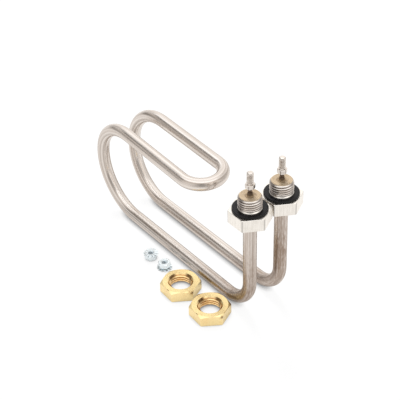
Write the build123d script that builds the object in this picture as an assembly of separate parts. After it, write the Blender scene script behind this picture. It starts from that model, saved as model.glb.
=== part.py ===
from build123d import *
import os
from math import cos, radians, sin, sqrt, tan

# Tubular heating element: one bent metal sheath that stands on its two lower runs,
# with a threaded fitting and a terminal stud on the top of each leg.
# The origin lies midway between the two fittings, on the plane of their sealing faces.
# +Z runs up along the threads, +X from fitting a to fitting b, and +Y along the runs
# to the rear bends. All lengths are in millimetres and all angles in degrees.

# Sheath tube
tube_diameter = 8.0
tube_wall = 0.8
fitting_spacing = 23.0
leg_drop = 73.0
rear_reach = 148.6
front_reach = 45.4
loop_rear_rise = 66.6
loop_front_rise = 61.7
floor_bend_radius = 20.0
rear_lower_radius = 31.2
rear_upper_radius = 32.8
front_bend_slack = 0.2

# How far the upper loop stands out sideways from the lower run under it
spread_rear_a = 2.8
spread_rear_b = 0.3
spread_front_a = 2.8
spread_front_b = 1.4

# Inside the sheath
powder_gap = 0.05
coil_diameter = 3.2
pin_diameter = 2.5
pin_depth = 40.0

# Angle of every bevel that breaks the corners of a hexagon
edge_angle = 30.0

# Hex fittings
hex_across_flats = 22.0
hex_height = 8.0
hex_edge_break = 0.3
thread_diameter = 14.0
thread_height = 9.4
thread_lead_in = 1.2
neck_diameter = 12.9
neck_height = 2.2
tube_stand_in = 4.5
braze_gap = 0.05
socket_diameter = 10.4

# Sealing gaskets
gasket_diameter = 20.6
gasket_thickness = 1.3
gasket_thread_gap = 0.05
gasket_edge_round = 0.5

# Insulator bushings and the resin round the pins
bushing_recess = 0.3
bushing_gap = 0.05
bushing_spigot = 2.5
seal_base_radius = 2.1
seal_top_radius = 1.5
seal_height = 2.2

# Terminal studs
collar_across_flats = 5.2
collar_base = 14.2
collar_height = 2.8
collar_edge_break = 0.35
stud_diameter = 4.0
stud_length = 7.5
stud_tip_round = 0.9
stud_socket_depth = 2.0
weld_gap = 0.03

# Jam nuts that belong on the fittings
jam_across_flats = 22.0
jam_thickness = 7.0
jam_corner_break = 1.7
jam_bore_diameter = 12.376
jam_countersink = 1.6
jam_nut_a_place = (-30.3, 42.7)
jam_nut_a_turn = -2.8
jam_nut_b_place = (-29.8, 14.6)
jam_nut_b_turn = -3.3

# Lock nuts that belong on the terminal studs, each with a captive toothed washer
lock_across_flats = 7.0
lock_hex_height = 3.2
lock_corner_break = 0.5
lock_bore_diameter = 3.242
lock_countersink = 0.5
lock_stub_diameter = 5.0
lock_stub_height = 0.95
lock_lip_diameter = 5.7
lock_lip_height = 0.2
washer_bore_clearance = 0.1
washer_ring_diameter = 7.4
washer_diameter = 10.0
washer_thickness = 0.5
washer_tooth_count = 12
washer_tooth_width = 1.5
washer_tooth_twist = 30.0
washer_face_gap = 0.08
lock_nut_a_place = (-26.4, 79.3)
lock_nut_a_turn = 12.0
lock_nut_b_place = (-25.5, 66.2)
lock_nut_b_turn = 40.0

# Sizes that follow from those above
tube_radius = tube_diameter / 2
tube_bore_radius = tube_radius - tube_wall
leg_x = fitting_spacing / 2
floor_level = -leg_drop - tube_radius
pin_radius = pin_diameter / 2
bushing_top = thread_height - bushing_recess
powder_top = tube_stand_in - bushing_spigot
lock_nut_height = lock_hex_height + washer_face_gap + 2 * (
    washer_tooth_width / 2 * sin(radians(washer_tooth_twist))
    + washer_thickness / 2 * cos(radians(washer_tooth_twist))
)


def element_path(end_height):
    """Centre line of the bent tube, from end_height on leg a round to leg b."""
    low = -leg_drop
    rear_a = -leg_x - spread_rear_a
    rear_b = leg_x + spread_rear_b
    front_a = -leg_x - spread_front_a
    front_b = leg_x + spread_front_b
    front_bend_radius = (front_b - front_a) / 2 - front_bend_slack
    corners = [
        (-leg_x, 0, end_height),
        (-leg_x, 0, low),
        (-leg_x, rear_reach, low),
        (rear_a, rear_reach, low + loop_rear_rise),
        (front_a, front_reach, low + loop_front_rise),
        (front_b, front_reach, low + loop_front_rise),
        (rear_b, rear_reach, low + loop_rear_rise),
        (leg_x, rear_reach, low),
        (leg_x, 0, low),
        (leg_x, 0, end_height),
    ]
    leg_bends = [floor_bend_radius, rear_lower_radius, rear_upper_radius, front_bend_radius]
    return FilletPolyline(*corners, radius=leg_bends + leg_bends[::-1])


def rod_along(end_height, radius):
    """Solid round rod on the centre line of the tube."""
    path = element_path(end_height)
    section = Plane(origin=path @ 0, z_dir=path % 0) * Circle(radius)
    return sweep(section, path=path)


def upright(radius, bottom, top, x=0.0):
    """Upright round bar between two heights, on the axis at x."""
    bar = Cylinder(radius, top - bottom, align=(Align.CENTER, Align.CENTER, Align.MIN))
    return Pos(x, 0, bottom) * bar


def hexagon_prism(across_flats, height):
    """Hexagonal prism on the base plane, with two flats facing along X."""
    outline = Rot(0, 0, 30) * RegularPolygon(across_flats / 2, 6, major_radius=False)
    return extrude(outline, height)


def broken_corners(body, across_flats, height, bevel, angle, both_ends):
    """Bevel the corners of a hexagon prism at its top end, or at both ends."""
    corner_radius = across_flats / sqrt(3)
    outline = Polyline(
        (0, 0),
        (corner_radius, 0),
        (corner_radius, height - bevel * tan(radians(angle))),
        (corner_radius - bevel, height),
        (0, height),
        close=True,
    )
    blank = revolve(Plane.XZ * make_face(outline), Axis.Z)
    body &= blank
    if both_ends:
        body &= Pos(0, 0, height) * Rot(180, 0, 0) * blank
    return body


def countersunk_bore(radius, height, depth):
    """Tool for a through bore with a countersink at each end."""
    over = radius + depth
    tool = upright(radius, 0, height)
    for mouth, inward in ((0, 1), (height, -1)):
        outline = Polyline(
            (0, mouth),
            (over, mouth),
            (radius, mouth + inward * depth),
            (0, mouth + inward * depth),
            close=True,
        )
        tool += revolve(Plane.XZ * make_face(outline), Axis.Z)
    return tool


def sheath_tube():
    outside = rod_along(tube_stand_in, tube_radius)
    inside = rod_along(tube_stand_in, tube_bore_radius)
    return outside - inside


def resistance_coil():
    return rod_along(-pin_depth, coil_diameter / 2)


def magnesia_fill():
    powder = rod_along(powder_top, tube_bore_radius - powder_gap)
    powder -= rod_along(-pin_depth, coil_diameter / 2 + powder_gap)
    for x in (-leg_x, leg_x):
        powder -= upright(pin_radius + powder_gap, -pin_depth, powder_top, x)
    return powder


def hex_fitting(x):
    body = hexagon_prism(hex_across_flats, hex_height)
    body = broken_corners(body, hex_across_flats, hex_height, hex_edge_break, edge_angle, True)
    body = Pos(0, 0, -hex_height) * body
    barrel = upright(thread_diameter / 2, neck_height, thread_height)
    rim = barrel.edges().filter_by(GeomType.CIRCLE).sort_by(Axis.Z)[-1]
    body += chamfer(rim, thread_lead_in)
    body += upright(neck_diameter / 2, 0, neck_height)
    body -= upright(tube_radius + braze_gap, -hex_height, tube_stand_in)
    body -= upright(socket_diameter / 2, tube_stand_in, thread_height)
    return Pos(x, 0, 0) * body


def sealing_gasket(x):
    ring = upright(gasket_diameter / 2, 0, gasket_thickness)
    rims = ring.edges().filter_by(GeomType.CIRCLE)
    ring = fillet(rims, gasket_edge_round)
    ring -= upright(thread_diameter / 2 + gasket_thread_gap, 0, gasket_thickness)
    return Pos(x, 0, 0) * ring


def insulator_bushing(x):
    head = upright(socket_diameter / 2 - bushing_gap, tube_stand_in, bushing_top)
    spigot = upright(tube_bore_radius - bushing_gap, powder_top, tube_stand_in)
    bore = upright(pin_radius + bushing_gap, powder_top, bushing_top)
    return Pos(x, 0, 0) * (head + spigot - bore)


def pin_seal(x):
    seal = Cone(seal_base_radius, seal_top_radius, seal_height)
    seal = Pos(0, 0, bushing_top + seal_height / 2) * seal
    seal -= upright(pin_radius + bushing_gap, bushing_top, bushing_top + seal_height)
    return Pos(x, 0, 0) * seal


def cold_pin(x):
    return upright(pin_radius, -pin_depth, collar_base + stud_socket_depth, x)


def terminal_stud(x):
    collar = hexagon_prism(collar_across_flats, collar_height)
    collar = broken_corners(
        collar, collar_across_flats, collar_height, collar_edge_break, edge_angle, True
    )
    screw = upright(stud_diameter / 2, collar_height, collar_height + stud_length)
    tip = screw.edges().filter_by(GeomType.CIRCLE).sort_by(Axis.Z)[-1]
    stud = collar + fillet(tip, stud_tip_round)
    stud -= upright(pin_radius + weld_gap, 0, stud_socket_depth)
    return Pos(x, 0, collar_base) * stud


def jam_nut(place, turn):
    nut = hexagon_prism(jam_across_flats, jam_thickness)
    nut = broken_corners(nut, jam_across_flats, jam_thickness, jam_corner_break, edge_angle, False)
    nut -= countersunk_bore(jam_bore_diameter / 2, jam_thickness, jam_countersink)
    return Pos(*place, floor_level) * Rot(0, 0, turn) * nut


def lock_nut_blank():
    """Lock nut with its toothed side up, standing on the far face of its hexagon."""
    nut = hexagon_prism(lock_across_flats, lock_hex_height)
    nut = broken_corners(
        nut, lock_across_flats, lock_hex_height, lock_corner_break, edge_angle, True
    )
    stub_top = lock_hex_height + lock_stub_height
    nut += upright(lock_stub_diameter / 2, lock_hex_height, stub_top)
    nut += upright(lock_lip_diameter / 2, stub_top, stub_top + lock_lip_height)
    return nut - countersunk_bore(lock_bore_diameter / 2, stub_top + lock_lip_height, lock_countersink)


def tooth_washer_blank():
    """Ring with twisted teeth round its rim, at its place on the lock nut."""
    middle = (lock_hex_height + washer_face_gap + lock_nut_height) / 2
    ring_bore = lock_stub_diameter / 2 + washer_bore_clearance
    washer = upright(washer_ring_diameter / 2, -washer_thickness / 2, washer_thickness / 2)
    tooth_root = ring_bore + washer_thickness
    tooth_length = washer_diameter / 2 - tooth_root
    tooth = Box(tooth_length, washer_tooth_width, washer_thickness)
    tooth = Pos(tooth_root + tooth_length / 2, 0, 0) * Rot(washer_tooth_twist, 0, 0) * tooth
    for index in range(washer_tooth_count):
        washer += Rot(0, 0, index * 360 / washer_tooth_count) * tooth
    washer -= upright(ring_bore, -washer_tooth_width, washer_tooth_width)
    return Pos(0, 0, middle) * washer


def teeth_up(blank, place, turn):
    return Pos(*place, floor_level) * Rot(0, 0, turn) * blank


def teeth_down(blank, place, turn):
    return Pos(*place, floor_level + lock_nut_height) * Rot(180, 0, turn) * blank


def build():
    nodes = {
        "sheath_tube": sheath_tube(),
        "resistance_coil": resistance_coil(),
        "magnesia_fill": magnesia_fill(),
        "jam_nut_a": jam_nut(jam_nut_a_place, jam_nut_a_turn),
        "jam_nut_b": jam_nut(jam_nut_b_place, jam_nut_b_turn),
        "lock_nut_a": teeth_up(lock_nut_blank(), lock_nut_a_place, lock_nut_a_turn),
        "tooth_washer_a": teeth_up(tooth_washer_blank(), lock_nut_a_place, lock_nut_a_turn),
        "lock_nut_b": teeth_down(lock_nut_blank(), lock_nut_b_place, lock_nut_b_turn),
        "tooth_washer_b": teeth_down(tooth_washer_blank(), lock_nut_b_place, lock_nut_b_turn),
    }
    for side, x in (("a", -leg_x), ("b", leg_x)):
        nodes["hex_fitting_" + side] = hex_fitting(x)
        nodes["sealing_gasket_" + side] = sealing_gasket(x)
        nodes["insulator_bushing_" + side] = insulator_bushing(x)
        nodes["pin_seal_" + side] = pin_seal(x)
        nodes["cold_pin_" + side] = cold_pin(x)
        nodes["terminal_stud_" + side] = terminal_stud(x)
    return nodes


os.makedirs("parts", exist_ok=True)
for name, shape in build().items():
    export_step(shape, "parts/" + name + ".step")
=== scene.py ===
from math import atan2, ceil, cos, hypot, pi, radians, sin, sqrt, tan

import bmesh
import bpy
from mathutils import Matrix, Vector


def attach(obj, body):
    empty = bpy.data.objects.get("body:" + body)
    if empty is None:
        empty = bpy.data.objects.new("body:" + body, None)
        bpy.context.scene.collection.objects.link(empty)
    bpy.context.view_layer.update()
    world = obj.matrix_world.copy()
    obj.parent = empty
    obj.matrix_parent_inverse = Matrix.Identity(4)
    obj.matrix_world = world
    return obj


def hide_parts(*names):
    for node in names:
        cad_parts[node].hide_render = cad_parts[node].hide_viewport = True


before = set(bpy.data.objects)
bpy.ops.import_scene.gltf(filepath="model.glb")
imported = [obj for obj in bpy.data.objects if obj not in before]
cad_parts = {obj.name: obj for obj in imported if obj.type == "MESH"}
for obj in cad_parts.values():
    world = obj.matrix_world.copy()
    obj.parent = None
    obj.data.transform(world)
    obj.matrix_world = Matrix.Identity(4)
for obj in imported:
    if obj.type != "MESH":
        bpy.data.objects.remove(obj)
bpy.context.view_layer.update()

# Shapes are drawn in millimetres about their own upright axis, then placed in metres.
MM = 0.001
LEG_X = 11.5
FLOOR_LEVEL = -77.0


# ---- Shapes ----

def new_shape():
    bm = bmesh.new()
    bm.verts.layers.float.new("groove")
    bm.verts.layers.float.new("reach")
    bm.verts.layers.float.new("corner")
    return bm


def parts_of(geom, kind):
    return [part for part in geom if isinstance(part, kind)]


def round_at(radius, level):
    """Where a corner of a round rim goes, whatever its angle."""
    return lambda angle: (radius, level)


def put(corner, angle, radius, level):
    corner.co = (radius * cos(angle), radius * sin(angle), level)


def grow(bm, rim, where):
    """Extrude a rim of edges and put each new corner where the rule says, at its own angle."""
    groove = bm.verts.layers.float["groove"]
    made = bmesh.ops.extrude_edge_only(bm, edges=rim)["geom"]
    for corner in parts_of(made, bmesh.types.BMVert):
        angle = atan2(corner.co.y, corner.co.x)
        put(corner, angle, *where(angle))
        corner[groove] = 0.0
    return parts_of(made, bmesh.types.BMEdge)


def first_rim(bm, angles, where):
    corners = bmesh.ops.create_circle(bm, cap_ends=False, segments=len(angles), radius=1.0)["verts"]
    for corner, angle in zip(corners, angles):
        put(corner, angle, *where(angle))
    return list({edge for corner in corners for edge in corner.link_edges})


def even_angles(count):
    return [2 * pi * index / count for index in range(count)]


def bridge(bm, rim, other):
    bmesh.ops.bridge_loops(bm, edges=rim + other)


def lathe(stations, segments=64):
    """Ring with the section that the stations go round, as radius and level."""
    bm = new_shape()
    start = rim = first_rim(bm, even_angles(segments), round_at(*stations[0]))
    for station in stations[1:]:
        rim = grow(bm, rim, round_at(*station))
    bridge(bm, start, rim)
    return bm


def open_rim(bm, level):
    return [
        edge for edge in bm.edges
        if edge.is_boundary and all(abs(corner.co.z - level) < 1e-4 for corner in edge.verts)
    ]


def thread_skin(low, high, pitch, bottom, top, trim, per_turn=48):
    """Sweep one pitch of a 60 degree thread round a helix and cut it level at both ends.

    trim takes a level and a radius and gives the radius there, for lead-ins and run-outs."""
    bm = new_shape()
    flat = pitch / 4
    flank = pitch * 5 / 16
    middle = (low + high) / 2
    section = (
        (low, 0),
        (low, flat),
        (middle, flat + flank / 2),
        (high, flat + flank),
        (high, pitch - flank),
        (middle, pitch - flank / 2),
        (low, pitch),
    )
    corners = [bm.verts.new((radius, 0, bottom - pitch + level)) for radius, level in section]
    strip = [bm.edges.new(pair) for pair in zip(corners, corners[1:])]
    turns = ceil((top - bottom) / pitch) + 2
    bmesh.ops.spin(
        bm, geom=corners + strip, cent=(0, 0, 0), axis=(0, 0, 1),
        dvec=(0, 0, pitch / per_turn), angle=2 * pi * turns, steps=per_turn * turns,
        use_merge=False, use_duplicate=False,
    )
    bmesh.ops.remove_doubles(bm, verts=bm.verts, dist=0.001)
    for level, away in ((bottom, -1), (top, 1)):
        bmesh.ops.bisect_plane(
            bm, geom=bm.verts[:] + bm.edges[:] + bm.faces[:], dist=1e-5,
            plane_co=(0, 0, level), plane_no=(0, 0, away), clear_outer=True,
        )
    groove = bm.verts.layers.float["groove"]
    for corner in bm.verts:
        radius = hypot(corner.co.x, corner.co.y)
        angle = atan2(corner.co.y, corner.co.x)
        trimmed = trim(corner.co.z, radius)
        corner[groove] = (high - radius) / (high - low) if abs(trimmed - radius) < 0.01 else 0.3
        put(corner, angle, trimmed, corner.co.z)
    return bm


def hexagon(across_flats, rounding):
    """Radius of a hexagon with two flats facing along X and softly rounded corners."""
    corner_radius = across_flats / sqrt(3)
    centre = corner_radius - rounding * 2 / sqrt(3)
    round_turn = atan2(rounding / 2, corner_radius - rounding * sqrt(3) / 6)
    beside = round_turn + radians(1.2)

    def radius(angle):
        turn = (angle - radians(30)) % radians(60)
        turn = min(turn, radians(60) - turn)
        if turn < round_turn:
            return centre * cos(turn) + sqrt(rounding ** 2 - (centre * sin(turn)) ** 2)
        return across_flats / 2 / cos(radians(30) - turn)

    near = [-round_turn, -round_turn / 2, 0.0, round_turn / 2, round_turn]
    spread = [radians(turn) for turn in (-24, -17, -11)] + [-beside]
    sector = spread + near + [-turn for turn in reversed(spread)] + [radians(30)]
    angles = [radians(30 + 60 * side) + turn for side in range(6) for turn in sector]

    def at_corner(angle):
        turn = (angle - radians(30)) % radians(60)
        return min(turn, radians(60) - turn) < round_turn * 1.02

    return radius, angles, at_corner


def hexagon_body(bm, across_flats, bottom, top, break_low, break_high, rounding, edge):
    """Sides of a hexagon from one end face to the other, with its corners turned off.

    break_low and break_high are the radii of the circles that the corners are turned to."""
    outline, angles, at_corner = hexagon(across_flats, rounding)
    corner_line = bm.verts.layers.float["corner"]

    def end_rings(circle, level, way):
        def flats_end(angle):
            radius = outline(angle)
            fall = max(0.0, radius - circle) * tan(radians(30)) + edge
            return radius, level - way * fall

        def face_rim(angle):
            return min(outline(angle), circle) - edge, level

        return flats_end, face_rim

    low_side, low_face = end_rings(break_low, bottom, -1)
    high_side, high_face = end_rings(break_high, top, 1)
    under = first_rim(bm, angles, low_face)
    rim = under
    for where in (low_side, high_side, high_face):
        rim = grow(bm, rim, where)
        # The rounded corners of the sides are marked, for a painted dark reflection along them.
        for corner in {corner for edge in rim for corner in edge.verts}:
            marked = where is not high_face and at_corner(atan2(corner.co.y, corner.co.x))
            corner[corner_line] = 1.0 if marked else 0.0
    return under, rim


def countersunk(radius, height):
    """Rule for a threaded bore whose two mouths open to a radius at 45 degrees."""
    return lambda level, thread: max(thread, radius - level, radius - (height - level))


def nearness(angle, place, width):
    """1 at a place round the axis, falling to 0 at a width from it, both in degrees."""
    away = abs((angle - radians(place) + pi) % (2 * pi) - pi)
    return max(0.0, 1.0 - away / radians(width))


def barrel_end(level, radius):
    """Rule for the barrel of a fitting: a lead-in at its top and a smooth neck at its foot."""
    fade = min(1.0, max(0.0, 3.1 - level) / 0.9)
    radius += (6.45 - radius) * fade
    return min(radius, 7.0 - (level - 8.2))


def stud_end(level, radius):
    """Rule for a terminal stud: a rounded tip, and a plain shank at the collar."""
    fade = min(1.0, max(0.0, 17.5 - level) / 0.5)
    radius += (1.85 - radius) * fade
    into_tip = max(0.0, level - 23.6)
    return min(radius, 1.1 + sqrt(max(0.0, 0.81 - into_tip ** 2)))


# ---- Placing a finished shape ----

def finished(bm, name, material, place=(0, 0, 0), turn=0.0, flip=False, crease=25):
    """Weld the shape, turn its faces outwards, put it in place and hand it to the frame."""
    reach = bm.verts.layers.float.get("reach")
    if reach:
        for corner in bm.verts:
            corner[reach] = hypot(corner.co.x, corner.co.y)
    bmesh.ops.remove_doubles(bm, verts=bm.verts, dist=0.0005)
    move = Matrix.Translation(Vector(place) * MM) @ Matrix.Rotation(radians(turn), 4, "Z")
    if flip:
        move = move @ Matrix.Rotation(pi, 4, "X")
    bmesh.ops.transform(bm, matrix=move @ Matrix.Scale(MM, 4), verts=bm.verts)
    bmesh.ops.recalc_face_normals(bm, faces=bm.faces)
    for edge in bm.edges:
        edge.smooth = edge.calc_face_angle(0.0) < radians(crease)
    for face in bm.faces:
        face.smooth = True
    mesh = bpy.data.meshes.new(name)
    bm.to_mesh(mesh)
    bm.free()
    mesh.materials.append(material)
    piece = bpy.data.objects.new(name + "_look", mesh)
    bpy.context.scene.collection.objects.link(piece)
    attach(piece, "root")
    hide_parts(name)
    return piece


# ---- The element's own pieces ----

def bent_sheath():
    """Two round rims, outer and bore, pushed along the runs and turned round the bends."""
    corners = [Vector(point) for point in (
        (-11.5, 0, 4.5),
        (-11.5, 0, -73),
        (-11.5, 148.6, -73),
        (-14.3, 148.6, -6.4),
        (-14.3, 45.4, -11.3),
        (12.9, 45.4, -11.3),
        (11.8, 148.6, -6.4),
        (11.5, 148.6, -73),
        (11.5, 0, -73),
        (11.5, 0, 4.5),
    )]
    radii = (20.0, 31.2, 32.8, 13.4, 13.4, 32.8, 31.2, 20.0)
    bm = bmesh.new()
    drawn = bm.verts.layers.float_vector.new("drawn")
    rims = []
    for radius in (4.0, 3.2):
        ring = bmesh.ops.create_circle(bm, cap_ends=False, segments=48, radius=radius)["verts"]
        for corner in ring:
            corner[drawn] = (corner.co.x / radius, corner.co.y / radius, 0.0)
        bmesh.ops.translate(bm, verts=ring, vec=corners[0])
        rims.append(list({edge for corner in ring for edge in corner.link_edges}))
    bridge(bm, *rims)
    rim = rims[0] + rims[1]
    here = corners[0]
    travelled = 0.0

    def mark(verts):
        for corner in verts:
            corner[drawn] = (corner[drawn].x, corner[drawn].y, travelled)

    def push(rim, step):
        made = bmesh.ops.extrude_edge_only(bm, edges=rim)["geom"]
        verts = parts_of(made, bmesh.types.BMVert)
        bmesh.ops.translate(bm, verts=verts, vec=step)
        mark(verts)
        return parts_of(made, bmesh.types.BMEdge)

    for index, radius in enumerate(radii, 1):
        into = (corners[index] - corners[index - 1]).normalized()
        out = (corners[index + 1] - corners[index]).normalized()
        turn = into.angle(out)
        start = corners[index] - into * radius * tan(turn / 2)
        axis = into.cross(out).normalized()
        centre = start + axis.cross(into) * radius
        travelled += (start - here).length
        rim = push(rim, start - here)
        steps = ceil(turn / radians(4.5))
        for _ in range(steps):
            travelled += radius * turn / steps
            verts = list({corner for edge in rim for corner in edge.verts})
            last = bmesh.ops.spin(
                bm, geom=verts + rim, cent=centre, axis=axis, angle=turn / steps, steps=1,
                use_merge=False, use_duplicate=False,
            )["geom_last"]
            mark(parts_of(last, bmesh.types.BMVert))
            rim = parts_of(last, bmesh.types.BMEdge)
        here = corners[index] + out * radius * tan(turn / 2)
    travelled += (corners[-1] - here).length
    rim = push(rim, corners[-1] - here)
    bmesh.ops.bridge_loops(bm, edges=rim)
    return bm


def hex_fitting():
    """Hexagon with a threaded barrel, whose thread is darkened at two places round it by painted
    dark reflection.
    """
    bm = thread_skin(6.08, 7.0, 1.5, 2.2, 9.4, barrel_end)
    foot = open_rim(bm, 2.2)
    for station in ((6.52, 1.9), (6.72, 1.55), (7.0, 1.3), (7.0, 0.0)):
        foot = grow(bm, foot, round_at(*station))
    mouth = open_rim(bm, 9.4)
    for station in ((5.35, 9.4), (5.2, 9.25), (5.2, 4.5), (4.05, 4.5), (4.05, -8.0)):
        mouth = grow(bm, mouth, round_at(*station))
    under, over = hexagon_body(bm, 22.0, -8.0, 0.0, 12.4, 12.4, 0.7, 0.22)
    bridge(bm, foot, over)
    bridge(bm, mouth, under)
    barrel_side_shade = bm.verts.layers.float.new("barrel_side_shade")
    # Two places round the barrel are marked for a painted dark reflection.
    for corner in bm.verts:
        angle = atan2(corner.co.y, corner.co.x)
        if 5.9 < hypot(corner.co.x, corner.co.y) < 7.05 and corner.co.z > 0.5:
            corner[barrel_side_shade] = max(nearness(angle, 173, 44), 0.7 * nearness(angle, -67, 36))
    return bm


def sealing_gasket():
    return lathe((
        (7.05, 0.0), (9.8, 0.0), (10.05, 0.07), (10.23, 0.25), (10.3, 0.5), (10.3, 0.8),
        (10.23, 1.05), (10.05, 1.23), (9.8, 1.3), (8.6, 1.3), (7.3, 1.3), (7.05, 1.2),
    ))


def insulator_bushing():
    """Compound poured level with the barrel, with a thin film of it left on the rim."""
    return lathe((
        (1.3, 2.0), (3.15, 2.0), (3.15, 4.5), (5.15, 4.5), (5.15, 9.3), (5.3, 9.41),
        (5.8, 9.41), (6.1, 9.12), (6.16, 9.17), (5.83, 9.48), (5.3, 9.47), (4.9, 9.33),
        (4.2, 9.18), (3.0, 9.12), (2.0, 9.1), (1.3, 9.1),
    ))


def pin_seal():
    return lathe((
        (1.3, 9.1), (2.1, 9.1), (2.02, 9.2), (1.87, 9.42), (1.72, 9.8), (1.6, 10.4),
        (1.5, 11.0), (1.4, 11.3), (1.3, 11.3),
    ), 40)


def terminal_stud():
    bm = thread_skin(1.57, 2.0, 0.7, 17.0, 24.5, stud_end, 36)
    bmesh.ops.contextual_create(bm, geom=open_rim(bm, 24.5))
    foot = open_rim(bm, 17.0)
    under, over = hexagon_body(bm, 5.2, 14.2, 17.0, 2.7, 2.7, 0.7, 0.15)
    socket = first_rim(bm, even_angles(24), round_at(1.28, 14.2))
    bridge(bm, foot, over)
    bridge(bm, under, socket)
    bmesh.ops.contextual_create(bm, geom=grow(bm, socket, round_at(1.28, 16.2)))
    return bm


def jam_nut():
    """Nut with a countersunk thread, with painted dark reflections at two places of its mouth and
    at two corners.
    """
    bm = thread_skin(6.188, 7.0, 1.5, 0.0, 7.0, countersunk(7.788, 7.0))
    low = open_rim(bm, 0.0)
    high = grow(bm, open_rim(bm, 7.0), round_at(7.93, 7.0))
    under, over = hexagon_body(bm, 22.0, 0.0, 7.0, 12.7, 11.05, 0.5, 0.15)
    bridge(bm, low, under)
    bridge(bm, high, over)
    dark_reflection_patch = bm.verts.layers.float.new("dark_reflection_patch")
    # Two places of the mouth and two corners are marked for painted dark reflections.
    for corner in bm.verts:
        radius = hypot(corner.co.x, corner.co.y)
        angle = atan2(corner.co.y, corner.co.x)
        if radius < 7.8:
            corner[dark_reflection_patch] = max(nearness(angle, 104, 34), nearness(angle, 8, 34))
        elif radius > 11.3:
            corner[dark_reflection_patch] = max(nearness(angle, -30, 6), nearness(angle, -90, 5))
    return bm


def lock_nut():
    """Hexagon with a collar that its washer turns on, spread at the lip to keep it there."""
    bm = thread_skin(1.621, 2.0, 0.7, 0.0, 4.35, countersunk(2.121, 4.35), 36)
    low = open_rim(bm, 0.0)
    high = open_rim(bm, 4.35)
    under, over = hexagon_body(bm, 7.0, 0.0, 3.2, 3.55, 3.55, 0.3, 0.12)
    for station in ((2.5, 3.2), (2.5, 4.1), (2.85, 4.18), (2.85, 4.28), (2.75, 4.35)):
        over = grow(bm, over, round_at(*station))
    bridge(bm, low, under)
    bridge(bm, high, over)
    return bm


def tooth_washer():
    """Flat ring whose teeth are pulled out of its rim and twisted."""
    bm = lathe(((2.6, 3.62), (3.7, 3.62), (3.7, 4.12), (2.6, 4.12)), 72)
    bm.faces.ensure_lookup_table()
    outer = [face for face in bm.faces if face.calc_center_median().xy.length > 3.6]
    for tooth in range(12):
        middle = radians(30 * tooth + 10)
        radial = Vector((cos(middle), sin(middle), 0))
        chosen = [
            face for face in outer
            if face.calc_center_median().xy.angle(radial.xy) < radians(11)
        ]
        made = bmesh.ops.extrude_face_region(bm, geom=chosen)["geom"]
        verts = parts_of(made, bmesh.types.BMVert)
        bmesh.ops.translate(bm, verts=verts, vec=radial * 1.15)
        bmesh.ops.rotate(
            bm, verts=verts, cent=(0, 0, 3.87), matrix=Matrix.Rotation(radians(22), 3, radial),
        )
    return bm


# ---- Node building ----

def add(tree, kind, feeds=None, **settings):
    """New node with its properties set, and its inputs linked or filled in."""
    node = tree.nodes.new(kind)
    for key, value in settings.items():
        setattr(node, key, value)
    for socket, value in (feeds or {}).items():
        if isinstance(value, bpy.types.NodeSocket):
            tree.links.new(value, node.inputs[socket])
        else:
            node.inputs[socket].default_value = value
    return node


def mix_colour(tree, share, first, second):
    return add(tree, "ShaderNodeMix", {0: share, 6: first, 7: second}, data_type="RGBA").outputs[2]


def math(tree, operation, first, second=0.0):
    return add(tree, "ShaderNodeMath", {0: first, 1: second}, operation=operation).outputs[0]


def ramp(tree, value, start, end, low=0.0, high=1.0, smooth=True):
    kind = "SMOOTHSTEP" if smooth else "LINEAR"
    feeds = {"Value": value, 1: start, 2: end, 3: low, 4: high}
    return add(tree, "ShaderNodeMapRange", feeds, interpolation_type=kind).outputs[0]


def stretched(tree, source, scale, shift=(0, 0, 0)):
    feeds = {"Vector": source, "Scale": scale, "Location": shift}
    return add(tree, "ShaderNodeMapping", feeds).outputs[0]


def rgb(red, green, blue):
    return (red, green, blue, 1.0)


def new_group(name, inputs, outputs):
    group = bpy.data.node_groups.new(name, "ShaderNodeTree")
    for label, kind in inputs:
        group.interface.new_socket(label, in_out="INPUT", socket_type=kind)
    for label, kind in outputs:
        group.interface.new_socket(label, in_out="OUTPUT", socket_type=kind)
    return group, add(group, "NodeGroupInput").outputs, add(group, "NodeGroupOutput").inputs


def fine_lines_group():
    """Fine lines from drawing or turning, where the vector is short along the lines."""
    group, given, result = new_group(
        "fine_lines",
        (("Vector", "NodeSocketVector"), ("Scale", "NodeSocketFloat")),
        (("Lines", "NodeSocketFloat"),),
    )
    coarse = add(group, "ShaderNodeTexNoise", {
        "Vector": given["Vector"], "Scale": given["Scale"], "Detail": 4.0, "Roughness": 0.65,
    }).outputs[0]
    group.links.new(ramp(group, coarse, 0.32, 0.68), result["Lines"])
    return group


def blotches_group():
    """Soft-edged patches, for stains, tarnish and handling marks."""
    group, given, result = new_group(
        "blotches",
        (
            ("Vector", "NodeSocketVector"), ("Scale", "NodeSocketFloat"),
            ("Start", "NodeSocketFloat"), ("End", "NodeSocketFloat"),
        ),
        (("Patches", "NodeSocketFloat"),),
    )
    cloud = add(group, "ShaderNodeTexNoise", {
        "Vector": given["Vector"], "Scale": given["Scale"], "Detail": 5.0, "Roughness": 0.6,
    }).outputs[0]
    group.links.new(ramp(group, cloud, given["Start"], given["End"]), result["Patches"])
    return group


FINE_LINES = fine_lines_group()
BLOTCHES = blotches_group()


def lines(tree, vector, scale):
    feeds = {"Vector": vector, "Scale": scale}
    return add(tree, "ShaderNodeGroup", feeds, node_tree=FINE_LINES).outputs[0]


def blotches(tree, vector, scale, start, end):
    node = add(tree, "ShaderNodeGroup", node_tree=BLOTCHES)
    tree.links.new(vector, node.inputs["Vector"])
    for label, value in (("Scale", scale), ("Start", start), ("End", end)):
        node.inputs[label].default_value = value
    return node.outputs[0]


def new_material(name, **plain):
    """Material with its plain numbers and colours on the shader's own sockets."""
    material = bpy.data.materials.new(name)
    material.use_nodes = True
    tree = material.node_tree
    shader = tree.nodes["Principled BSDF"]
    for label, value in plain.items():
        shader.inputs[label.replace("_", " ")].default_value = value
    return material, tree, shader


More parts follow.
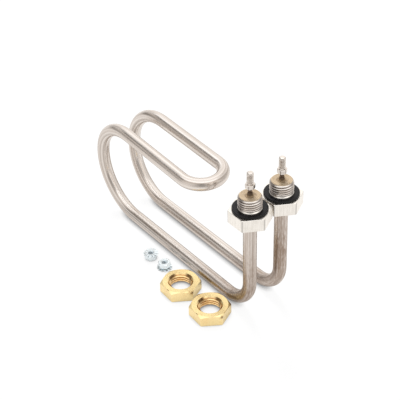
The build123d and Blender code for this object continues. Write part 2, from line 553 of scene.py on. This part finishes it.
def finish_material(tree, shader, colour, roughness, height, depth, strength=1.0):
    tree.links.new(colour, shader.inputs["Base Color"])
    tree.links.new(roughness, shader.inputs["Roughness"])
    feeds = {"Height": height, "Distance": depth, "Strength": strength}
    bump = add(tree, "ShaderNodeBump", feeds)
    tree.links.new(bump.outputs[0], shader.inputs["Normal"])


def object_coordinates(tree):
    return add(tree, "ShaderNodeTexCoord").outputs["Object"]


def attribute(tree, name, output="Fac"):
    return add(tree, "ShaderNodeAttribute", attribute_name=name).outputs[output]


# ---- Finishes ----

def painted_reflection_lines(tree, drawn, *marks):
    """Painted reflection lines along the tube, light or dark, fixed round its section and alike on
    its two halves.

    Each mark is an angle round the section, a width in degrees and a strength."""
    x, y, along = add(tree, "ShaderNodeSeparateXYZ", {0: drawn}).outputs
    section = add(tree, "ShaderNodeCombineXYZ", {0: math(tree, "ABSOLUTE", x), 1: y}).outputs[0]
    strongest = 0.0
    for angle, width, strength in marks:
        place = (cos(radians(angle)), sin(radians(angle)), 0)
        near = add(tree, "ShaderNodeVectorMath", {0: section, 1: place}, operation="DOT_PRODUCT")
        line = ramp(tree, near.outputs["Value"], cos(radians(width)), cos(radians(width * 0.3)),
                    0.0, strength)
        strongest = math(tree, "MAXIMUM", line, strongest)
    return strongest


def drawn_stainless():
    """Drawn tube, warm grey, tanned brown by its working temperature on the legs and most of all at
    the floor bends, with painted reflection lines along it and painted shade on the underside of
    the lower runs.
    """
    material, tree, shader = new_material("drawn_stainless", Metallic=1.0)
    drawn = attribute(tree, "drawn", "Vector")
    along = add(tree, "ShaderNodeSeparateXYZ", {0: drawn}).outputs[2]
    level = add(tree, "ShaderNodeSeparateXYZ", {0: object_coordinates(tree)}).outputs[2]
    grain = lines(tree, stretched(tree, drawn, (9.0, 9.0, 0.03)), 1.0)
    hair = lines(tree, stretched(tree, drawn, (30.0, 30.0, 0.05), (3, 1, 7)), 1.0)
    streaks = blotches(tree, stretched(tree, drawn, (3.4, 3.4, 0.008), (2, 6, 3)), 1.0, 0.49, 0.64)
    gleams = blotches(tree, stretched(tree, drawn, (3.4, 3.4, 0.008), (7, 3, 9)), 1.0, 0.52, 0.66)
    tone = blotches(tree, stretched(tree, drawn, (0.9, 0.9, 0.05)), 1.0, 0.38, 0.66)
    mottle = blotches(tree, stretched(tree, drawn, (3.0, 3.0, 0.14), (5, 2, 1)), 1.8, 0.3, 0.72)
    spots = blotches(tree, stretched(tree, drawn, (3.0, 3.0, 0.5), (1, 8, 4)), 1.2, 0.62, 0.74)
    bend_a = ramp(tree, math(tree, "ABSOLUTE", math(tree, "SUBTRACT", along, 78.0)), 55.0, 8.0)
    bend_b = ramp(tree, math(tree, "ABSOLUTE", math(tree, "SUBTRACT", along, 662.0)), 52.0, 14.0)
    leg_b = ramp(tree, along, 660.0, 695.0)
    leg_a = ramp(tree, along, 96.0, 60.0)
    tanned = math(tree, "ADD", math(tree, "MULTIPLY", bend_a, 0.5),
                  math(tree, "ADD", math(tree, "MULTIPLY", bend_b, 0.62),
                       math(tree, "ADD", math(tree, "MULTIPLY", leg_a, 0.24),
                            math(tree, "MULTIPLY", leg_b, 0.46))))
    # Painted shade on the underside of the lower runs, next to the floor, mixed in with the tan of
    # the legs and bends.
    painted_darkening = ramp(tree, level, -0.0733, -0.0758, 0.0, 0.5)
    patchy = math(tree, "ADD", math(tree, "MULTIPLY", mottle, 0.9), 0.47)
    heat_tint_and_shade = math(tree, "MULTIPLY", math(tree, "ADD", tanned, painted_darkening), patchy)
    heat_tint_and_shade = math(tree, "MINIMUM", heat_tint_and_shade, 0.95)
    colour = mix_colour(tree, math(tree, "MULTIPLY", grain, 0.36), rgb(0.78, 0.72, 0.67),
                        rgb(0.54, 0.47, 0.415))
    colour = mix_colour(tree, math(tree, "MULTIPLY", gleams, 0.6), colour,
                        rgb(1.0, 0.965, 0.925))
    colour = mix_colour(tree, math(tree, "MULTIPLY", streaks, 0.62), colour,
                        rgb(0.38, 0.315, 0.265))
    colour = mix_colour(tree, math(tree, "MULTIPLY", tone, 0.28), colour, rgb(0.60, 0.52, 0.46))
    line_fade = ramp(tree, grain, 0.0, 1.0, 1.0, 0.7)
    # Painted highlight lines and painted dark reflection lines, fixed round the tube's section and
    # broken up a little by the grain.
    bright = painted_reflection_lines(tree, drawn, (37, 8, 0.4), (73, 9, 0.5), (-61, 7, 0.45), (-84, 8, 0.45))
    dark = painted_reflection_lines(tree, drawn, (20, 11, 0.4), (51, 9, 0.5), (93, 9, 0.32), (-71, 6, 0.26))
    colour = mix_colour(tree, math(tree, "MULTIPLY", bright, line_fade), colour, rgb(1.0, 0.96, 0.92))
    colour = mix_colour(tree, math(tree, "MULTIPLY", dark, line_fade), colour, rgb(0.25, 0.205, 0.17))
    colour = mix_colour(tree, heat_tint_and_shade, colour, rgb(0.33, 0.245, 0.19))
    specks = math(tree, "MULTIPLY", spots, 0.22)
    colour = mix_colour(tree, specks, colour, rgb(0.34, 0.26, 0.21))
    roughness = math(tree, "ADD", ramp(tree, grain, 0.0, 1.0, 0.2, 0.3),
                     math(tree, "MULTIPLY", heat_tint_and_shade, 0.15))
    finish_material(tree, shader, colour, roughness, hair, 0.000006, 0.7)
    return material


def nickel_plate():
    """Bright plate on the hexagon, greyer on the threaded barrel above it and darker in its thread
    roots, with painted dark reflections at two places round the barrel and along the hexagon's
    corners.
    """
    material, tree, shader = new_material("nickel_plate", Metallic=1.0)
    here = object_coordinates(tree)
    height = add(tree, "ShaderNodeSeparateXYZ", {0: here}).outputs[2]
    barrel = ramp(tree, height, 0.0016, 0.0024)
    brushed = lines(tree, stretched(tree, here, (1.0, 1.0, 0.04)), 2600.0)
    dull = blotches(tree, here, 260.0, 0.42, 0.7)
    groove = attribute(tree, "groove")
    colour = mix_colour(tree, math(tree, "MULTIPLY", brushed, 0.30), rgb(1.0, 0.965, 0.91),
                        rgb(0.70, 0.67, 0.62))
    colour = mix_colour(tree, math(tree, "MULTIPLY", dull, 0.20), colour, rgb(0.70, 0.65, 0.57))
    # Painted dark reflection along the hexagon's rounded corners.
    colour = mix_colour(tree, math(tree, "MULTIPLY", attribute(tree, "corner"), 0.65), colour,
                        rgb(0.42, 0.40, 0.38))
    colour = mix_colour(tree, math(tree, "MULTIPLY", barrel, 0.75), colour,
                        rgb(0.74, 0.68, 0.63))
    # Darker in the thread roots.
    darker_roots = ramp(tree, groove, 0.25, 1.0, 0.0, 0.7)
    colour = mix_colour(tree, darker_roots, colour, rgb(0.19, 0.15, 0.125))
    # Painted dark reflection at two places round the barrel.
    painted_darkening = ramp(tree, attribute(tree, "barrel_side_shade"), 0.1, 0.9, 0.0, 0.72)
    colour = mix_colour(tree, painted_darkening, colour, rgb(0.16, 0.13, 0.115))
    roughness = math(tree, "ADD", ramp(tree, brushed, 0.0, 1.0, 0.22, 0.32),
                     math(tree, "MULTIPLY", darker_roots, 0.2))
    finish_material(tree, shader, colour, roughness, brushed, 0.000003, 0.5)
    return material


def stud_plate():
    material, tree, shader = new_material("stud_plate", Metallic=1.0)
    here = object_coordinates(tree)
    turned = lines(tree, stretched(tree, here, (0.08, 0.08, 1.0)), 3000.0)
    patches = blotches(tree, here, 700.0, 0.45, 0.68)
    groove = attribute(tree, "groove")
    colour = mix_colour(tree, math(tree, "MULTIPLY", turned, 0.3), rgb(0.86, 0.81, 0.755),
                        rgb(0.62, 0.56, 0.51))
    colour = mix_colour(tree, math(tree, "MULTIPLY", patches, 0.4), colour, rgb(0.50, 0.42, 0.38))
    # Painted dark reflection along the collar's rounded corners.
    colour = mix_colour(tree, math(tree, "MULTIPLY", attribute(tree, "corner"), 0.6), colour,
                        rgb(0.25, 0.21, 0.19))
    # Darker in the thread roots.
    darker_roots = ramp(tree, groove, 0.3, 1.0, 0.0, 0.55)
    colour = mix_colour(tree, darker_roots, colour, rgb(0.20, 0.165, 0.14))
    roughness = ramp(tree, turned, 0.0, 1.0, 0.2, 0.34)
    finish_material(tree, shader, colour, roughness, turned, 0.000003, 0.5)
    return material


def gasket_rubber():
    material, tree, shader = new_material("gasket_rubber", Metallic=0.0, Specular_IOR_Level=0.22)
    here = object_coordinates(tree)
    moulding = blotches(tree, here, 900.0, 0.3, 0.7)
    smears = blotches(tree, here, 220.0, 0.48, 0.7)
    colour = mix_colour(tree, math(tree, "MULTIPLY", smears, 0.5), rgb(0.006, 0.006, 0.007),
                        rgb(0.026, 0.024, 0.028))
    roughness = ramp(tree, smears, 0.0, 1.0, 0.36, 0.55)
    finish_material(tree, shader, colour, roughness, moulding, 0.00002, 0.5)
    return material


def tan_insulator():
    material, tree, shader = new_material("tan_insulator", Metallic=0.0)
    here = object_coordinates(tree)
    grit = blotches(tree, here, 2400.0, 0.3, 0.7)
    patches = blotches(tree, here, 420.0, 0.4, 0.66)
    reach = attribute(tree, "reach")
    wobble = math(tree, "ADD", reach, math(tree, "MULTIPLY", patches, 1.3))
    soaked = ramp(tree, wobble, 4.4, 3.0)
    colour = mix_colour(tree, math(tree, "MULTIPLY", grit, 0.35), rgb(0.65, 0.51, 0.35),
                        rgb(0.49, 0.37, 0.24))
    colour = mix_colour(tree, math(tree, "MULTIPLY", patches, 0.3), colour, rgb(0.42, 0.30, 0.17))
    colour = mix_colour(tree, math(tree, "MULTIPLY", soaked, 0.7), colour,
                        rgb(0.20, 0.125, 0.06))
    roughness = ramp(tree, soaked, 0.0, 1.0, 0.62, 0.4)
    finish_material(tree, shader, colour, roughness, grit, 0.00003, 0.6)
    return material


def brown_resin():
    """Resin that climbs the pin, dark at the pin and thin enough at its rim to show the tan."""
    material, tree, shader = new_material("brown_resin", Metallic=0.0, Coat_Weight=0.3)
    here = object_coordinates(tree)
    cloudy = blotches(tree, here, 900.0, 0.35, 0.65)
    thin = ramp(tree, attribute(tree, "reach"), 1.5, 2.05)
    colour = mix_colour(tree, cloudy, rgb(0.060, 0.032, 0.015), rgb(0.13, 0.075, 0.035))
    colour = mix_colour(tree, thin, colour, rgb(0.42, 0.29, 0.155))
    roughness = ramp(tree, cloudy, 0.0, 1.0, 0.3, 0.5)
    finish_material(tree, shader, colour, roughness, cloudy, 0.00008, 0.7)
    return material


def oxidised_pin():
    material, tree, shader = new_material("oxidised_pin", Metallic=1.0)
    here = object_coordinates(tree)
    scale = blotches(tree, here, 1500.0, 0.35, 0.65)
    drawn = lines(tree, stretched(tree, here, (1.0, 1.0, 0.05)), 4000.0)
    colour = mix_colour(tree, scale, rgb(0.24, 0.18, 0.14), rgb(0.10, 0.07, 0.05))
    roughness = ramp(tree, scale, 0.0, 1.0, 0.35, 0.6)
    finish_material(tree, shader, colour, roughness, drawn, 0.00001, 0.6)
    return material


def machined_brass():
    material, tree, shader = new_material("machined_brass", Metallic=1.0)
    here = object_coordinates(tree)
    reach = attribute(tree, "reach")
    rings = add(tree, "ShaderNodeCombineXYZ", {0: reach}).outputs[0]
    turned = lines(tree, rings, 5.0)
    milled = lines(tree, stretched(tree, here, (1.0, 1.0, 0.05)), 1500.0)
    tarnish = blotches(tree, here, 190.0, 0.45, 0.72)
    groove = attribute(tree, "groove")
    bore = ramp(tree, reach, 7.6, 6.9)
    colour = mix_colour(tree, math(tree, "MULTIPLY", turned, 0.12), rgb(1.0, 0.82, 0.44),
                        rgb(0.92, 0.62, 0.25))
    colour = mix_colour(tree, math(tree, "MULTIPLY", milled, 0.10), colour, rgb(0.90, 0.62, 0.25))
    colour = mix_colour(tree, math(tree, "MULTIPLY", tarnish, 0.24), colour, rgb(0.92, 0.55, 0.21))
    colour = mix_colour(tree, math(tree, "MULTIPLY", bore, 0.5), colour, rgb(0.96, 0.58, 0.27))
    # Darker in the thread roots inside the bore.
    darker_roots = ramp(tree, groove, 0.0, 0.7, 0.35, 0.0)
    darker_roots = math(tree, "MULTIPLY", darker_roots, bore)
    colour = mix_colour(tree, darker_roots, colour, rgb(0.55, 0.28, 0.09))
    height = add(tree, "ShaderNodeSeparateXYZ", {0: here}).outputs[2]
    # Painted dark reflections at two places of the mouth and at two corners, near the top of the
    # nut.
    dark_reflection_patch = math(tree, "MULTIPLY", ramp(tree, attribute(tree, "dark_reflection_patch"), 0.1, 0.7, 0.0, 0.9),
                 ramp(tree, height, -0.0726, -0.0709))
    colour = mix_colour(tree, dark_reflection_patch, colour, rgb(0.15, 0.075, 0.025))
    roughness = ramp(tree, milled, 0.0, 1.0, 0.16, 0.26)
    finish_material(tree, shader, colour, roughness, turned, 0.000003, 0.5)
    return material


def zinc_plate():
    material, tree, shader = new_material("zinc_plate", Metallic=1.0)
    here = object_coordinates(tree)
    crystals = blotches(tree, here, 1600.0, 0.35, 0.65)
    bloom = blotches(tree, here, 400.0, 0.42, 0.7)
    groove = attribute(tree, "groove")
    colour = mix_colour(tree, math(tree, "MULTIPLY", crystals, 0.25), rgb(0.90, 0.97, 1.0),
                        rgb(0.66, 0.76, 0.85))
    colour = mix_colour(tree, math(tree, "MULTIPLY", bloom, 0.2), colour, rgb(0.78, 0.86, 0.90))
    # A little darker in the thread roots.
    darker_roots = ramp(tree, groove, 0.0, 1.0, 0.0, 0.12)
    colour = mix_colour(tree, darker_roots, colour, rgb(0.30, 0.36, 0.43))
    roughness = ramp(tree, crystals, 0.0, 1.0, 0.26, 0.4)
    finish_material(tree, shader, colour, roughness, crystals, 0.000006, 0.5)
    return material


def resistance_wire():
    material, tree, shader = new_material("resistance_wire", Metallic=1.0)
    here = object_coordinates(tree)
    oxide = blotches(tree, here, 900.0, 0.4, 0.65)
    turns = lines(tree, here, 1500.0)
    colour = mix_colour(tree, oxide, rgb(0.38, 0.35, 0.33), rgb(0.22, 0.20, 0.19))
    roughness = ramp(tree, turns, 0.0, 1.0, 0.4, 0.6)
    finish_material(tree, shader, colour, roughness, turns, 0.00003)
    return material


def packed_magnesia():
    material, tree, shader = new_material("packed_magnesia", Metallic=0.0)
    here = object_coordinates(tree)
    grains = blotches(tree, here, 3000.0, 0.3, 0.7)
    colour = mix_colour(tree, grains, rgb(0.80, 0.78, 0.73), rgb(0.66, 0.63, 0.57))
    roughness = ramp(tree, grains, 0.0, 1.0, 0.8, 0.95)
    finish_material(tree, shader, colour, roughness, grains, 0.00002)
    return material


# ---- Building the element ----

def build_element():
    finished(bent_sheath(), "sheath_tube", drawn_stainless())
    plate = nickel_plate()
    stud = stud_plate()
    rubber = gasket_rubber()
    insulator = tan_insulator()
    resin = brown_resin()
    pin = oxidised_pin()
    for side, x in (("a", -LEG_X), ("b", LEG_X)):
        place = (x, 0, 0)
        finished(hex_fitting(), "hex_fitting_" + side, plate, place)
        finished(sealing_gasket(), "sealing_gasket_" + side, rubber, place)
        finished(insulator_bushing(), "insulator_bushing_" + side, insulator,
                 place)
        finished(pin_seal(), "pin_seal_" + side, resin, place)
        finished(terminal_stud(), "terminal_stud_" + side, stud, place)
        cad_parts["cold_pin_" + side].data.materials[0] = pin
    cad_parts["resistance_coil"].data.materials[0] = resistance_wire()
    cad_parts["magnesia_fill"].data.materials[0] = packed_magnesia()


def build_loose_nuts():
    brass = machined_brass()
    finished(jam_nut(), "jam_nut_a", brass, (-30.3, 42.7, FLOOR_LEVEL), -2.8)
    finished(jam_nut(), "jam_nut_b", brass, (-29.8, 14.6, FLOOR_LEVEL), -3.3)
    zinc = zinc_plate()
    up = (-26.4, 79.3, FLOOR_LEVEL)
    down = (-25.5, 66.2, FLOOR_LEVEL + 4.463)
    finished(lock_nut(), "lock_nut_a", zinc, up, 12)
    finished(tooth_washer(), "tooth_washer_a", zinc, up, 12)
    finished(lock_nut(), "lock_nut_b", zinc, down, 40, flip=True)
    finished(tooth_washer(), "tooth_washer_b", zinc, down, 40, flip=True)


# ---- Studio ----

def white_floor():
    bm = bmesh.new()
    bmesh.ops.create_grid(bm, x_segments=1, y_segments=1, size=20.0)
    bmesh.ops.translate(bm, verts=bm.verts, vec=(0, 0, FLOOR_LEVEL * MM - 0.00002))
    mesh = bpy.data.meshes.new("floor")
    bm.to_mesh(mesh)
    bm.free()
    floor = bpy.data.objects.new("floor", mesh)
    bpy.context.scene.collection.objects.link(floor)
    material = bpy.data.materials.new("white_sweep")
    material.use_nodes = True
    tree = material.node_tree
    tree.nodes.clear()
    paper = add(tree, "ShaderNodeBsdfDiffuse", {"Color": rgb(0.86, 0.86, 0.86)}).outputs[0]
    # What the camera sees of the floor is darkened close to the element by ambient occlusion, a
    # painted contact shadow; in reflections the floor is painted darker towards the front and near
    # the element, painted shade.
    close, around = (
        add(tree, "ShaderNodeAmbientOcclusion", {"Distance": reach}, samples=12).outputs["AO"]
        for reach in (0.005, 0.02)
    )
    path = add(tree, "ShaderNodeLightPath").outputs
    mirrored = math(tree, "MAXIMUM", path["Is Glossy Ray"], path["Is Transmission Ray"])
    back = add(tree, "ShaderNodeSeparateXYZ", {0: object_coordinates(tree)}).outputs[1]
    falling = stops(tree, ramp(tree, back, -0.4, 0.2, smooth=False),
                    (0.0, 0.42), (0.45, 0.88), (0.6, 0.98), (0.74, 0.98), (0.88, 0.88))
    falling = mix_colour(tree, ramp(tree, around, 0.15, 0.7, 0.75, 0.0), falling, rgb(0, 0, 0))
    shade = mix_colour(tree, mirrored, ramp(tree, close, 0.08, 0.75, 0.2, 1.0), falling)
    glow = add(tree, "ShaderNodeEmission", {"Color": shade, "Strength": 1.06}).outputs[0]
    share = math(tree, "ADD", math(tree, "MULTIPLY", path["Is Camera Ray"], 0.85),
                 math(tree, "MULTIPLY", mirrored, 0.75))
    surface = add(tree, "ShaderNodeMixShader", {0: share, 1: paper, 2: glow}).outputs[0]
    add(tree, "ShaderNodeOutputMaterial", {"Surface": surface})
    mesh.materials.append(material)


def stops(tree, value, *marks):
    """Ramp of slightly warm greys, each mark a place and a level."""
    node = add(tree, "ShaderNodeValToRGB", {0: value})
    ramp_stops = node.color_ramp.elements
    ramp_stops[1].position = marks[-1][0]
    ramp_stops[0].position = marks[0][0]
    for place, level in marks[1:-1]:
        ramp_stops.new(place)
    for stop, (place, level) in zip(ramp_stops, marks):
        stop.color = rgb(level, level * 0.97, level * 0.94)
    return node.outputs[0]


def studio_world():
    """White to the camera. In reflections, a bright ceiling over walls of several levels.

    The wall behind the element has two dark bands with a light strip between them."""
    world = bpy.data.worlds.new("studio")
    bpy.context.scene.world = world
    world.use_nodes = True
    tree = world.node_tree
    tree.nodes.clear()
    way = add(tree, "ShaderNodeTexCoord").outputs["Generated"]
    x, y, height = add(tree, "ShaderNodeSeparateXYZ", {0: way}).outputs
    turn = ramp(tree, math(tree, "ARCTAN2", y, x), -pi, pi, smooth=False)
    walls = ((-180, 1.0), (-150, 0.86), (-137, 0.6), (-124, 0.38), (-114, 0.42), (-100, 0.98),
             (-78, 1.42), (-62, 1.22), (-45, 0.82), (-28, 0.76), (0, 0.86), (15, 1.0),
             (30, 1.14), (60, 1.14), (75, 0.93), (92, 0.6), (120, 0.54), (137, 0.68),
             (150, 0.78), (165, 0.9), (180, 1.0))
    walls = stops(tree, turn, *(((degrees + 180) / 360, level) for degrees, level in walls))
    banded = stops(
        tree, height,
        (0.00, 0.46), (0.06, 0.38), (0.12, 0.34), (0.20, 0.42), (0.30, 0.78), (0.46, 0.86),
        (0.56, 0.44), (0.63, 0.15), (0.71, 0.15), (0.77, 0.92),
    )
    level = add(tree, "ShaderNodeVectorMath", {0: way, 1: (1, 1, 0)}, operation="MULTIPLY")
    level = add(tree, "ShaderNodeVectorMath", {0: level.outputs[0]}, operation="NORMALIZE")
    facing = add(tree, "ShaderNodeVectorMath", {0: level.outputs[0], 1: (-0.574, 0.819, 0.0)},
                 operation="DOT_PRODUCT").outputs["Value"]
    room = mix_colour(tree, ramp(tree, facing, 0.80, 0.92), walls, banded)
    overhead = add(tree, "ShaderNodeVectorMath", {0: way, 1: (0.139, 0.655, 0.743)},
                   operation="DOT_PRODUCT").outputs["Value"]
    ceiling = math(tree, "MAXIMUM", ramp(tree, height, 0.70, 0.83),
                   ramp(tree, overhead, 0.925, 0.975, 0.0, 0.75))
    room = mix_colour(tree, ceiling, room, rgb(1.42, 1.42, 1.42))
    path = add(tree, "ShaderNodeLightPath").outputs
    mirrored = math(tree, "MAXIMUM", path["Is Glossy Ray"], path["Is Transmission Ray"])
    seen = mix_colour(tree, mirrored, rgb(0.66, 0.66, 0.66), room)
    seen = mix_colour(tree, path["Is Camera Ray"], seen, rgb(1, 1, 1))
    background = add(tree, "ShaderNodeBackground", {"Color": seen, "Strength": 1.0}).outputs[0]
    add(tree, "ShaderNodeOutputWorld", {"Surface": background})


def soft_box(name, place, aim, width, height, power, mirrored=True):
    lamp = bpy.data.lights.new(name, "AREA")
    lamp.shape = "RECTANGLE"
    lamp.size = width
    lamp.size_y = height
    lamp.energy = power
    box = bpy.data.objects.new(name, lamp)
    bpy.context.scene.collection.objects.link(box)
    box.location = place
    box.rotation_euler = (Vector(aim) - Vector(place)).to_track_quat("-Z", "Y").to_euler()
    box.visible_glossy = mirrored


def photo_camera():
    """Camera at the place, aim and field of view worked out from the photograph."""
    lens = bpy.data.cameras.new("camera")
    lens.sensor_width = 36.0
    lens.lens = 98.958
    lens.clip_start = 0.01
    camera = bpy.data.objects.new("camera", lens)
    bpy.context.scene.collection.objects.link(camera)
    right = Vector((0.79125742, -0.61101716, -0.02386874))
    up = Vector((0.37575528, 0.45506087, 0.80729646))
    back = Vector((-0.48241026, -0.64774812, 0.58966322))
    turned = Matrix((right, up, back)).transposed().to_4x4()
    camera.matrix_world = Matrix.Translation((-0.32375, -0.37337, 0.36171)) @ turned
    bpy.context.scene.camera = camera


build_element()
build_loose_nuts()
white_floor()
studio_world()
soft_box("key_light", (0.45, 0.95, 1.25), (0.0, 0.05, -0.05), 0.6, 0.6, 20.0, mirrored=False)
photo_camera()
bpy.context.scene.view_settings.view_transform = "Standard"
